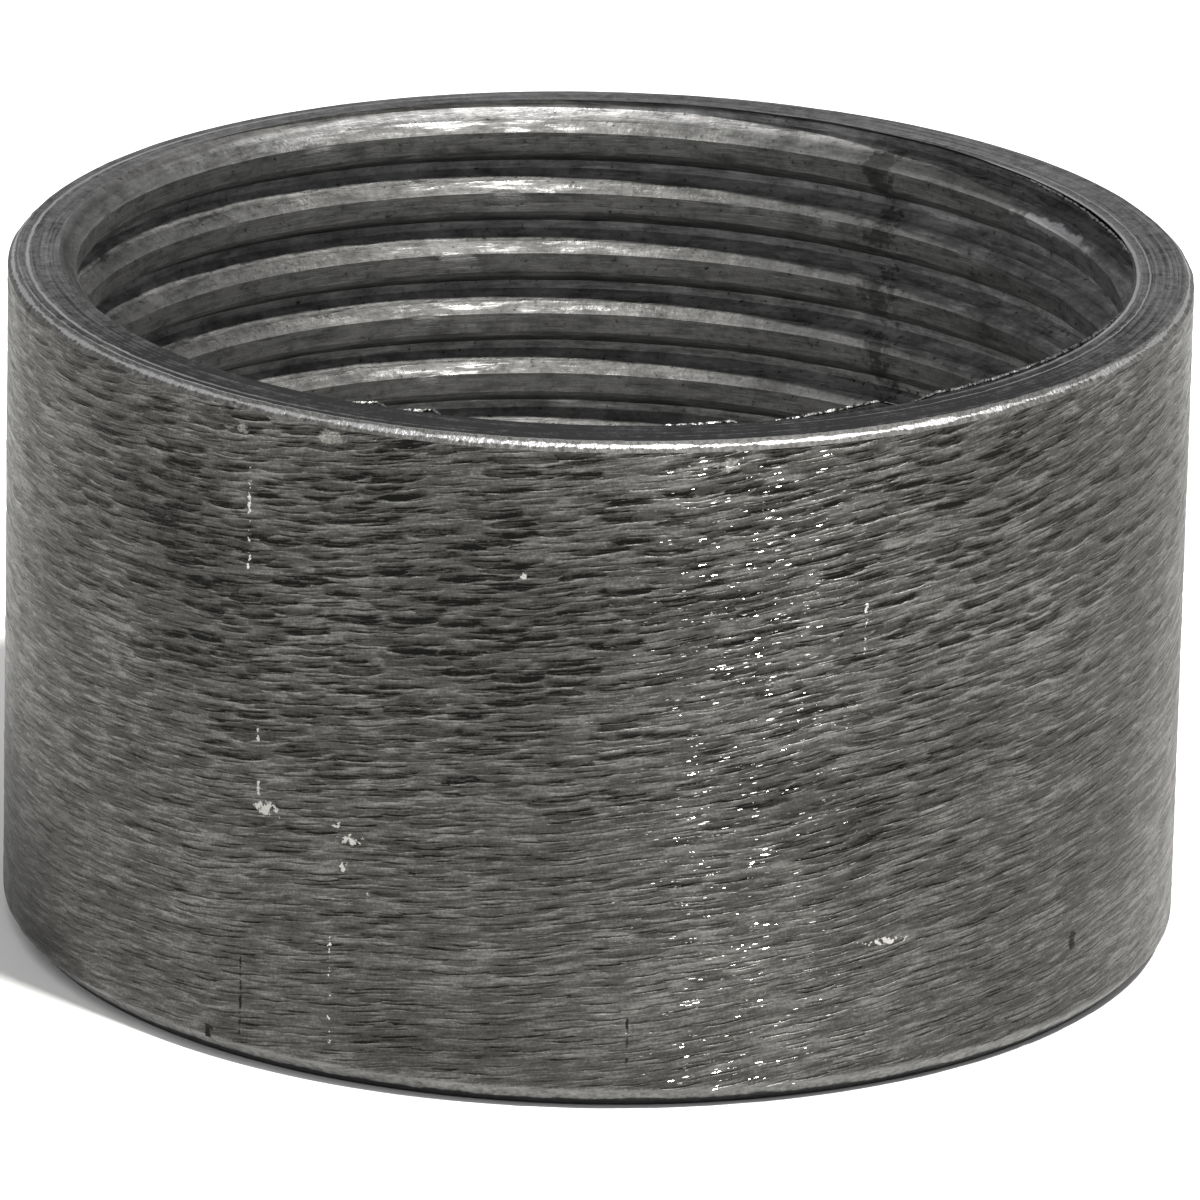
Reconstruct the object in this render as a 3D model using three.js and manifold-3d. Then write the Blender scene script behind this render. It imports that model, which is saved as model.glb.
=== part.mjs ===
// Pipe cap: a short round steel cup, closed at the bottom and threaded inside
// from its open mouth. It is one machined piece.
// Millimetres, +Z up towards the mouth, origin at the centre of the closed
// end's outer face.

import * as THREE from 'three';
import { mergeVertices } from 'three/addons/utils/BufferGeometryUtils.js';
import Module from 'manifold-3d';

// ---- Driving dimensions, mm ----

// The cup
const boreDiameter = 35.2; // across the thread crests
const wallBehindThread = 1.4; // metal left outside the thread roots
const cavityDepth = 20; // mouth face to the inside of the closed end
const endThickness = 3; // solid disc that closes the cap
const floorFillet = 1.5; // radius where the bore meets the closed end

// The edges
const endChamfer = 0.65; // outside, round the closed end, 45 degrees
const mouthOuterChamfer = 0.3; // outside, round the mouth, 45 degrees
const mouthInnerChamfer = 0.4; // inside, round the mouth, 45 degrees

// The thread, right-handed, parallel
const threadPitch = 25.4 / 11.5; // 11.5 turns to the inch
const threadDepth = 1.0; // crest to root
const rootFlat = 0.28; // width of the cutter's nose
const flankAngle = 30; // degrees between a flank and the plane square to the axis
const plainLength = 3; // bore left without thread above the closed end
const runOutTurns = 0.75; // turns over which the cutter leaves the wall
const threadClocking = 28; // degrees from +Y towards -X where the groove opens on the mouth

// ---- Worked out from them ----

const boreRadius = boreDiameter / 2;
const outerRadius = boreRadius + threadDepth + wallBehindThread;
const overallHeight = endThickness + cavityDepth;

// ---- How finely curves are cut into flats ----

const facesAround = 48;
const facesPerFillet = 4;

// The cutter reaches this far past the crests into the open bore, and this many
// turns past the mouth, so that it cuts clean through both surfaces.
const cutterClearance = 0.2;
const leadInTurns = 1;

// ---- Solids ----

const wasm = await Module();
wasm.setup();

function toSolid(geometry) {
  geometry.deleteAttribute('normal');
  geometry.deleteAttribute('uv');
  const merged = mergeVertices(geometry);
  const mesh = new wasm.Mesh({
    numProp: 3,
    vertProperties: Float32Array.from(merged.attributes.position.array),
    triVerts: Uint32Array.from(merged.index.array),
  });
  return new wasm.Manifold(mesh);
}

function toGeometry(solid) {
  const mesh = solid.getMesh();
  const geometry = new THREE.BufferGeometry();
  geometry.setAttribute('position', new THREE.BufferAttribute(mesh.vertProperties, 3));
  geometry.setIndex(new THREE.BufferAttribute(mesh.triVerts, 1));
  geometry.computeVertexNormals();
  return geometry;
}

// ---- The cup, before its thread ----

// Half of the cup's section, from the axis under the closed end, out and up to
// the mouth, then down the bore and back to the axis.
function cupProfile() {
  const landInnerRadius = boreRadius + mouthInnerChamfer;
  const points = [
    new THREE.Vector2(0, 0),
    new THREE.Vector2(outerRadius - endChamfer, 0),
    new THREE.Vector2(outerRadius, endChamfer),
    new THREE.Vector2(outerRadius, overallHeight - mouthOuterChamfer),
    new THREE.Vector2(outerRadius - mouthOuterChamfer, overallHeight),
    new THREE.Vector2(landInnerRadius, overallHeight),
    new THREE.Vector2(boreRadius, overallHeight - mouthInnerChamfer),
  ];
  const filletX = boreRadius - floorFillet;
  const filletY = endThickness + floorFillet;
  for (let i = 0; i <= facesPerFillet; i += 1) {
    const angle = (-Math.PI / 2) * (i / facesPerFillet);
    points.push(new THREE.Vector2(
      filletX + floorFillet * Math.cos(angle),
      filletY + floorFillet * Math.sin(angle),
    ));
  }
  points.push(new THREE.Vector2(0, endThickness));
  return points;
}

function cup() {
  const geometry = new THREE.LatheGeometry(cupProfile(), facesAround);
  geometry.rotateX(Math.PI / 2);
  return toSolid(geometry);
}

// ---- The thread's groove ----

// The line that the cutter follows on the bore: a helix from above the mouth
// down to the plain bore, drawn inwards over its last turns.
class ThreadPath extends THREE.Curve {
  turns = leadInTurns + (cavityDepth - plainLength) / threadPitch;

  startAngle = -THREE.MathUtils.degToRad(threadClocking) - leadInTurns * 2 * Math.PI;

  getPoint(t, target = new THREE.Vector3()) {
    const turn = t * this.turns;
    const angle = this.startAngle + turn * 2 * Math.PI;
    const runOut = Math.max(0, 1 - (this.turns - turn) / runOutTurns);
    const radius = boreRadius - runOut * (threadDepth + cutterClearance);
    const height = overallHeight + (leadInTurns - turn) * threadPitch;
    return target.set(radius * Math.sin(angle), radius * Math.cos(angle), height);
  }

  // The section stays upright and square to the bore: its first axis points
  // outwards from the cap's axis and its second one points up.
  computeFrenetFrames(steps) {
    const frames = { tangents: [], normals: [], binormals: [] };
    for (let i = 0; i <= steps; i += 1) {
      const point = this.getPointAt(i / steps);
      frames.tangents.push(this.getTangentAt(i / steps));
      frames.normals.push(new THREE.Vector3(point.x, point.y, 0).normalize());
      frames.binormals.push(new THREE.Vector3(0, 0, 1));
    }
    return frames;
  }
}

function threadGroove() {
  const spread = Math.tan(THREE.MathUtils.degToRad(flankAngle));
  const halfRoot = rootFlat / 2;
  const halfInside = halfRoot + (threadDepth + cutterClearance) * spread;
  const section = new THREE.Shape([
    new THREE.Vector2(-cutterClearance, -halfInside),
    new THREE.Vector2(threadDepth, -halfRoot),
    new THREE.Vector2(threadDepth, halfRoot),
    new THREE.Vector2(-cutterClearance, halfInside),
  ]);
  const path = new ThreadPath();
  const geometry = new THREE.ExtrudeGeometry(section, {
    steps: Math.round(path.turns * facesAround),
    extrudePath: path,
  });
  return toSolid(geometry);
}

// ---- The part ----

const rawSteel = new THREE.MeshStandardMaterial({
  color: 0x565656,
  roughness: 0.45,
  metalness: 1,
});

const capBody = new THREE.Mesh(toGeometry(cup().subtract(threadGroove())), rawSteel);
capBody.name = 'cap_body';

const pipeCap = new THREE.Group();
pipeCap.add(capBody);

export default pipeCap;
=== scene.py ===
"""Looks of the pipe cap: a short steel cup with a female thread, standing mouth up.

Laid out as a Blender add-on and run as a script. Metres, in the CAD's own frame.
"""

import math
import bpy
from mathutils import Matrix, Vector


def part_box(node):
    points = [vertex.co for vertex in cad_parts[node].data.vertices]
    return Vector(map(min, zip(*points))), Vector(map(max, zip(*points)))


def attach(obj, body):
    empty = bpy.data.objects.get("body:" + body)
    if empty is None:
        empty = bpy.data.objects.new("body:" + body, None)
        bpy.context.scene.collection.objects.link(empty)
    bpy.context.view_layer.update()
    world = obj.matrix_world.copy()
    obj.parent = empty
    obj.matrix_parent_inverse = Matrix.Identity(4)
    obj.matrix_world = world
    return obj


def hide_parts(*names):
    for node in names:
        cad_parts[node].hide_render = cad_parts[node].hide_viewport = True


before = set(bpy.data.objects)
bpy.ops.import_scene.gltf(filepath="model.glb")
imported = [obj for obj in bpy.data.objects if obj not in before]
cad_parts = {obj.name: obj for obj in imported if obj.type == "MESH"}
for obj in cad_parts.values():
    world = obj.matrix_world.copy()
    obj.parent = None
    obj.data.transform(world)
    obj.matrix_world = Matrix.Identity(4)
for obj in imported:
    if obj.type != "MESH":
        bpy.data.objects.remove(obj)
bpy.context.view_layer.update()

from types import SimpleNamespace

import bpy
import numpy as np
from bpy.props import FloatProperty, FloatVectorProperty, IntProperty, PointerProperty
from mathutils import Matrix, Vector

bl_info = {
    "name": "Pipe cap",
    "version": (1, 0, 0),
    "blender": (4, 5, 0),
    "location": "3D View > Sidebar > Pipe cap",
    "description": "Builds a threaded steel pipe cap and a small studio for it",
    "category": "Object",
}

NODE = "cap_body"
BODY = "root"
LOW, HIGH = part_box(NODE)
OUTER_RADIUS = (HIGH.x - LOW.x) / 2
HEIGHT = HIGH.z - LOW.z
MM = 0.001
WALL_MM = OUTER_RADIUS / MM
INCH = 25.4
TURNS_PER_INCH = 11.5


# ------------------------ small helpers

def linear(hex_colour):
    """An sRGB hex colour as linear RGBA."""
    channels = [int(hex_colour[i:i + 2], 16) / 255 for i in (1, 3, 5)]
    return tuple(c / 12.92 if c <= 0.04045 else ((c + 0.055) / 1.055) ** 2.4 for c in channels) + (1.0,)


def times(colour, factor):
    """The colour made lighter or darker by a factor."""
    return tuple(channel * factor for channel in colour[:3]) + (1.0,)


def add(tree, kind, *values, out=0, sockets=None, **settings):
    """Adds a node and returns one of its outputs. A value is linked if it is a socket, and set if not."""
    node = tree.nodes.new(kind)
    for name, value in settings.items():
        setattr(node, name, value)
    wanted = list(zip([socket for socket in node.inputs if socket.enabled], values))
    wanted += [(node.inputs[name], value) for name, value in (sockets or {}).items()]
    for socket, value in wanted:
        if isinstance(value, bpy.types.NodeSocket):
            tree.links.new(value, socket)
        else:
            socket.default_value = value
    if isinstance(out, str):
        return node.outputs[out]
    return [socket for socket in node.outputs if socket.enabled][out]


def ramp(tree, value, *stops):
    """Turns a value into a colour by the stops (place, colour) given."""
    colour = add(tree, "ShaderNodeValToRGB", value)
    band = colour.node.color_ramp
    while len(band.elements) < len(stops):
        band.elements.new(1.0)
    for element, (place, shade) in zip(band.elements, stops):
        element.position = place
        element.color = shade if isinstance(shade, tuple) else (shade, shade, shade, 1.0)
    return colour


MATH = "ShaderNodeMath"
VECTOR = "ShaderNodeVectorMath"
SPLIT = "ShaderNodeSeparateXYZ"
JOIN = "ShaderNodeCombineXYZ"
NOISE = "ShaderNodeTexNoise"
CELLS = "ShaderNodeTexVoronoi"
RANGE = "ShaderNodeMapRange"
MIX = "ShaderNodeMix"
BUMP = "ShaderNodeBump"
COORDINATES = "ShaderNodeTexCoord"
ATTRIBUTE = "GeometryNodeInputNamedAttribute"


def layered(tree, tone, *layers):
    """The tone with each (layer, weight) added to it."""
    for layer, weight in layers:
        tone = add(tree, MATH, layer, weight, tone, operation="MULTIPLY_ADD")
    return tone


def coated(tree, shade, *coats):
    """The shade under coats of (cover, colour), the last one on top."""
    for cover, colour in coats:
        shade = add(tree, MIX, cover, shade, colour, data_type="RGBA")
    return shade


# ------------------------ what a user would change

def length_property(name, description, millimetres):
    return FloatProperty(name=name, description=description, default=millimetres * MM, unit="LENGTH")


def angle_property(name, description, degrees):
    return FloatProperty(name=name, description=description, default=math.radians(degrees), subtype="ANGLE")


def colour_property(name, description, hex_colour):
    return FloatVectorProperty(
        name=name, description=description, subtype="COLOR", size=4, default=linear(hex_colour))


class CapSizes(bpy.types.PropertyGroup):
    bore_diameter: length_property("Bore", "Across the thread crests", 35.2)
    cavity_depth: length_property("Cavity depth", "Mouth face to the closed end's inside", 20)
    floor_fillet: length_property("Floor fillet", "Radius where the bore meets the closed end", 1.5)
    end_chamfer: length_property("End chamfer", "Outside, round the closed end", 0.65)
    mouth_outer_chamfer: length_property("Mouth outer chamfer", "Outside, round the mouth", 0.3)
    mouth_inner_chamfer: length_property("Mouth inner chamfer", "Inside, round the mouth", 0.4)
    thread_pitch: length_property("Thread pitch", "Advance in one turn", INCH / TURNS_PER_INCH)
    thread_depth: length_property("Thread depth", "Crest to root", 1.0)
    root_flat: length_property("Root flat", "Width of the cutter's nose", 0.28)
    flank_angle: angle_property("Flank angle", "Between a flank and the plane square to the axis", 30)
    plain_length: length_property("Plain length", "Bore without thread above the closed end", 3)
    run_out_turns: FloatProperty(
        name="Run-out", description="Turns over which the cutter leaves the wall", default=0.75)
    thread_clocking: angle_property("Clocking", "From +Y towards -X, where the groove opens", 28)
    grinding_depth: length_property("Grinding depth", "Deepest scallop left on the wall by the belt", 0.06)
    burr_reach: length_property("Burr reach", "How far the longest burr hangs in over the bore", 0.85)
    burr_thickness: length_property("Burr thickness", "Across the rolled lip of a burr", 0.11)
    columns: IntProperty(name="Columns", description="Faces round the cap", default=336, min=16)


class CapColours(bpy.types.PropertyGroup):
    # Painted shade: the dark end of the ground wall's tone, above each belt mark's lip; also the burr webs'
    # tint.
    wall_dark: colour_property("Wall dark", "Bottom of a grinding mark", "#171716")
    wall_mid: colour_property("Wall mid", "Common tone of the ground wall", "#494846")
    # Painted highlight: the bright end of the ground wall's tone, on each belt mark's lip; also a tint of
    # paler specks, edges and burr lips.
    wall_light: colour_property("Wall light", "Facet that the belt left bright", "#828281")
    rim: colour_property("Rim", "Turned face round the mouth", "#7a7979")
    # Also the colour of the painted highlight on the chamfer inside the mouth.
    edge: colour_property("Edge", "Bright metal of a rubbed edge", "#b6b6b7")
    # Painted shade on the chamfer round the closed end, which faces down.
    scale: colour_property("Scale", "Dark scale on the chamfer round the closed end", "#1b1b1c")
    crest: colour_property("Crest", "Old bore left between the thread's grooves", "#676766")
    flank: colour_property("Flank", "Metal that the threading tool cut", "#626261")
    # Painted light: pale roots stand in for light that the deep groove doesn't get; partly clean cut metal
    # too.
    clean_and_lit_root: colour_property("Fresh", "Clean metal deep in the thread's groove", "#c4c4c3")
    floor: colour_property("Cavity floor", "Bored steel inside the closed end", "#a6a6a5")
    # Also the colour of the painted shadow in the first groove.
    soil: colour_property("Soil", "Black grease held in the scar and the pits", "#1d1c1c")
    paint: colour_property("Paint", "Pale fleck stuck to the wall", "#a3a29e")


class StudioSettings(bpy.types.PropertyGroup):
    camera_elevation: angle_property("Camera elevation", "Above the horizon", 18.80)
    camera_distance: length_property("Camera distance", "To the middle of the cap", 440.4)
    camera_roll: angle_property("Camera roll", "Turn about the line of sight", 1.314)
    aim_right: length_property("Aim right", "How far right of the cap's middle the camera looks", 0.21)
    aim_up: length_property("Aim up", "How far above the cap's middle the camera looks", -0.59)
    lens: FloatProperty(name="Lens", description="Focal length in millimetres", default=389.4)
    key_azimuth: angle_property("Key azimuth", "Key light, to the camera's right", 44)
    key_elevation: angle_property("Key elevation", "Key light, above the horizon", 60)
    key_distance: length_property("Key distance", "Key light to the middle of the cap", 700)
    key_size: length_property("Key size", "Across the key light", 60)
    key_power: FloatProperty(name="Key power", description="Key light in watts", default=9.0)
    key_tint: colour_property("Key tint", "Colour of the key light", "#fffdfa")
    floor: colour_property("Floor", "Plain pale floor", "#f4f4f2")
    air_low: colour_property("Air low", "Pale room at the horizon and below", "#bbbcbe")
    air_middle: colour_property("Air middle", "Pale room a little above the horizon", "#cdced1")
    air_high: colour_property("Air high", "Pale room overhead", "#ffffff")


def sizes():
    return bpy.context.scene.pipe_cap_sizes


def colours():
    """The cap's colours by name, as plain tuples."""
    group = bpy.context.scene.pipe_cap_colours
    return SimpleNamespace(**{name: tuple(getattr(group, name)) for name in CapColours.__annotations__})


def studio():
    return bpy.context.scene.pipe_cap_studio


# ------------------------ the cap before its thread is cut

REGIONS = ("end_face", "end_edge", "wall", "mouth_edge", "rim", "bore", "cavity_floor")
WEIGHTS = ("wall_weight", "rim_weight", "bore_weight")
# Rows of points on each stretch of the outline.
END_ROWS = 7
WALL_ROWS = 131
RIM_ROWS = 6
PLAIN_ROWS = 5
FILLET_ROWS = 5
FLOOR_ROWS = 5
# Radius of the ring nearest each pole, and how close two points are before they become one.
POLE_RING = 1.5 * MM
WELD_DISTANCE = 0.0001 * MM


def column_angles(s):
    """Angles from +Y towards +X, starting where the groove opens on the mouth."""
    return -s.thread_clocking + np.linspace(0, 2 * math.pi, s.columns + 1)


def thread_stations(s):
    """Places across one pitch, in turns from the groove's centre, close together at the thread's corners."""
    root = s.root_flat / 2
    opening = root + s.thread_depth * math.tan(s.flank_angle)
    half = (0.0, root, root + 0.06 * MM, (root + opening) / 2, opening - 0.07 * MM, opening + 0.05 * MM)
    across = {round(side * place / s.thread_pitch, 9) for place in half for side in (1, -1)}
    return np.array(sorted(across) + [0.5])


def cap_rows(s):
    """Rows of points from the middle of the closed end, out, up, in over the mouth and down the bore.

    A row is (region, radii, heights, wall weight, rim weight, bore weight), one value for each column."""
    bore = s.bore_diameter / 2
    floor_height = HEIGHT - s.cavity_depth
    angles = column_angles(s)
    ones = np.ones(len(angles))
    rows = []

    def ring(region, radius, height, wall=0.0, rim=-1.0, bored=0.0):
        rows.append((region, radius * ones, height * ones, wall * ones, rim * ones, bored * ones))

    for radius in np.linspace(POLE_RING, OUTER_RADIUS - s.end_chamfer, END_ROWS):
        ring("end_face", radius, 0.0)
    ring("end_edge", OUTER_RADIUS - s.end_chamfer * 0.55, s.end_chamfer * 0.45, wall=0.2)
    low, high = s.end_chamfer, HEIGHT - s.mouth_outer_chamfer
    ring("end_edge", OUTER_RADIUS, low, wall=1.0)
    for share in np.linspace(0, 1, WALL_ROWS + 1)[1:]:
        ring("wall", OUTER_RADIUS, low + share * (high - low), wall=1.0)
    rim_outer = OUTER_RADIUS - s.mouth_outer_chamfer
    rim_inner = bore + s.mouth_inner_chamfer
    chamfer = s.mouth_outer_chamfer
    ring("mouth_edge", OUTER_RADIUS - chamfer * 0.4, HEIGHT - chamfer * 0.6, wall=1.0)
    ring("mouth_edge", rim_outer, HEIGHT, wall=1.0, rim=0.0)
    for share in np.linspace(0, 1, RIM_ROWS + 1)[1:]:
        ring("rim", rim_outer + share * (rim_inner - rim_outer), HEIGHT, wall=1 - share, rim=share)
    threaded = s.cavity_depth - s.plain_length
    stations = thread_stations(s)
    last_turn = math.ceil(threaded / s.thread_pitch)
    for turn in range(-1, last_turn + 1):
        for station in stations:
            depth = s.thread_pitch * ((angles + s.thread_clocking) / (2 * math.pi) + turn + station)
            depth = np.clip(depth, 0, threaded)
            radius = bore + np.maximum(0, s.mouth_inner_chamfer - depth)
            rows.append(("bore", radius, HEIGHT - depth, 0 * ones, -ones, ones))
    for share in np.linspace(1, 0, PLAIN_ROWS + 1)[1:]:
        height = floor_height + s.floor_fillet + share * (s.plain_length - s.floor_fillet)
        ring("bore", bore, height, bored=share)
    for turn in np.linspace(0, math.pi / 2, FILLET_ROWS + 1)[1:]:
        ring("cavity_floor", bore - s.floor_fillet * (1 - math.cos(turn)),
             floor_height + s.floor_fillet * (1 - math.sin(turn)))
    for radius in np.linspace(bore - s.floor_fillet, POLE_RING, FLOOR_ROWS + 1)[1:]:
        ring("cavity_floor", radius, floor_height)
    return rows


def welded_mesh(name, rows, angles, pole_heights):
    """A closed mesh over the rows, with a pole at each end and no doubled points."""
    sine, cosine = np.sin(angles), np.cos(angles)
    points = np.stack([np.stack([row[1] * sine, row[1] * cosine, row[2]], -1) for row in rows])
    weights = np.stack([np.stack(row[3:], -1) for row in rows])
    count, across = points.shape[:2]
    flat = points.reshape(-1, 3)
    nearest = np.round(flat / WELD_DISTANCE).astype(np.int64)
    _, first, index = np.unique(nearest, axis=0, return_index=True, return_inverse=True)
    index = index.reshape(count, across)
    poles = [[0, 0, pole_heights[0]], [0, 0, pole_heights[1]]]
    vertices = np.vstack([flat[first], poles])
    bottom, top = len(first), len(first) + 1
    faces, regions = [], []
    for i in range(count - 1):
        for j in range(across - 1):
            corners = [index[i, j], index[i + 1, j], index[i + 1, j + 1], index[i, j + 1]]
            corners = [int(c) for k, c in enumerate(corners) if c != corners[k - 1]]
            if len(set(corners)) > 2:
                faces.append(corners)
                regions.append(REGIONS.index(rows[i + 1][0]))
    for j in range(across - 1):
        faces.append([bottom, int(index[0, j]), int(index[0, j + 1])])
        regions.append(REGIONS.index(rows[0][0]))
        faces.append([top, int(index[-1, j + 1]), int(index[-1, j])])
        regions.append(REGIONS.index(rows[-1][0]))
    mesh = bpy.data.meshes.new(name)
    mesh.from_pydata(vertices.tolist(), [], faces)
    spread = np.vstack([weights.reshape(-1, 3)[first], [[0, -1, 0], [0, -1, 0]]])
    for column, label in enumerate(WEIGHTS):
        layer = mesh.attributes.new(label, "FLOAT", "POINT")
        layer.data.foreach_set("value", np.ascontiguousarray(spread[:, column], np.float32))
    layer = mesh.attributes.new("region", "INT", "FACE")
    layer.data.foreach_set("value", np.array(regions, np.int32))
    mesh.update()
    return mesh


# ------------------------ the grinding pattern, for shape and colour alike

def slanted_place(tree, place):
    """The point, sheared so that lines round the cap climb to one side, as the belt ran across it."""
    part = add(tree, SPLIT, place).node.outputs
    drift = add(tree, NOISE, place, 0.11, 2.0, 0.5)
    height = layered(tree, part["Z"], (part["X"], -0.13), (drift, 0.9))
    return add(tree, JOIN, part["X"], part["Y"], height)


def scallops(tree, along, length, width, dark_until=0.88):
    """How far the belt's marks move the tone: 0 away from any mark.

    Each cell holds one lens-shaped mark, dark above its crisp lower lip, and bright just below it. In the
    colour the dark is painted shade under the lip and the bright line is a painted highlight; in the
    geometry the same marks give the scallops' depth."""
    place = add(tree, VECTOR, along, (1 / length, 1 / length, 1 / width), operation="MULTIPLY")
    wobble = add(tree, NOISE, place, 1.9, 4.0, 0.62, out="Color")
    place = add(tree, VECTOR, wobble, (0.5, 0.5, 0.36), place, operation="MULTIPLY_ADD")
    cell = add(tree, CELLS, place, 1.0).node.outputs
    away = add(tree, VECTOR, place, cell["Position"], operation="SUBTRACT")
    across = add(tree, VECTOR, away, (1.0, 1.0, 0.0), operation="MULTIPLY")
    reach = add(tree, VECTOR, across, across, operation="DOT_PRODUCT", out="Value")
    middle = add(tree, RANGE, reach, 0.0, 0.34, 1.0, 0.0)
    lip = layered(tree, add(tree, SPLIT, away, out="Z"), (middle, 0.22))
    lip = add(tree, RANGE, lip, -0.3, 0.7, 0.0, 1.0)
    middle = add(tree, MATH, middle, 2.2, operation="MULTIPLY")
    middle = add(tree, MATH, middle, 1.0, operation="MINIMUM")
    lip_at = 0.31
    tone = ramp(tree, lip, (0.0, 0.5), (0.12, 0.52), (0.25, 0.72), (lip_at, 0.02),
                (lip_at + (dark_until - lip_at) * 0.45, 0.1), (dark_until, 0.52))
    strength = add(tree, RANGE, add(tree, SPLIT, cell["Color"]), 0.0, 0.8, 0.45, 1.0)
    strength = add(tree, MATH, strength, middle, operation="MULTIPLY")
    tone = add(tree, MATH, tone, -0.5, operation="ADD")
    return add(tree, MATH, tone, strength, operation="MULTIPLY")


# ------------------------ the thread and the grinding, as geometry nodes

THREAD_INPUTS = dict.fromkeys((
    "Bore radius", "Height", "Pitch", "Depth", "Root flat", "Flank slope", "Threaded length",
    "Run-out turns", "Clocking turns", "Rim outer radius", "Rim inner radius", "Grinding depth",
), "NodeSocketFloat")


def new_tree(name, inputs):
    """An empty geometry node tree with the inputs given, its inputs by name, and its output node."""
    tree = bpy.data.node_groups.new(name, "GeometryNodeTree")
    tree.interface.new_socket("Geometry", in_out="INPUT", socket_type="NodeSocketGeometry")
    tree.interface.new_socket("Geometry", in_out="OUTPUT", socket_type="NodeSocketGeometry")
    for label, kind in inputs.items():
        tree.interface.new_socket(label, in_out="INPUT", socket_type=kind)
    given = tree.nodes.new("NodeGroupInput").outputs
    end = tree.nodes.new("NodeGroupOutput")
    return tree, given, end


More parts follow.
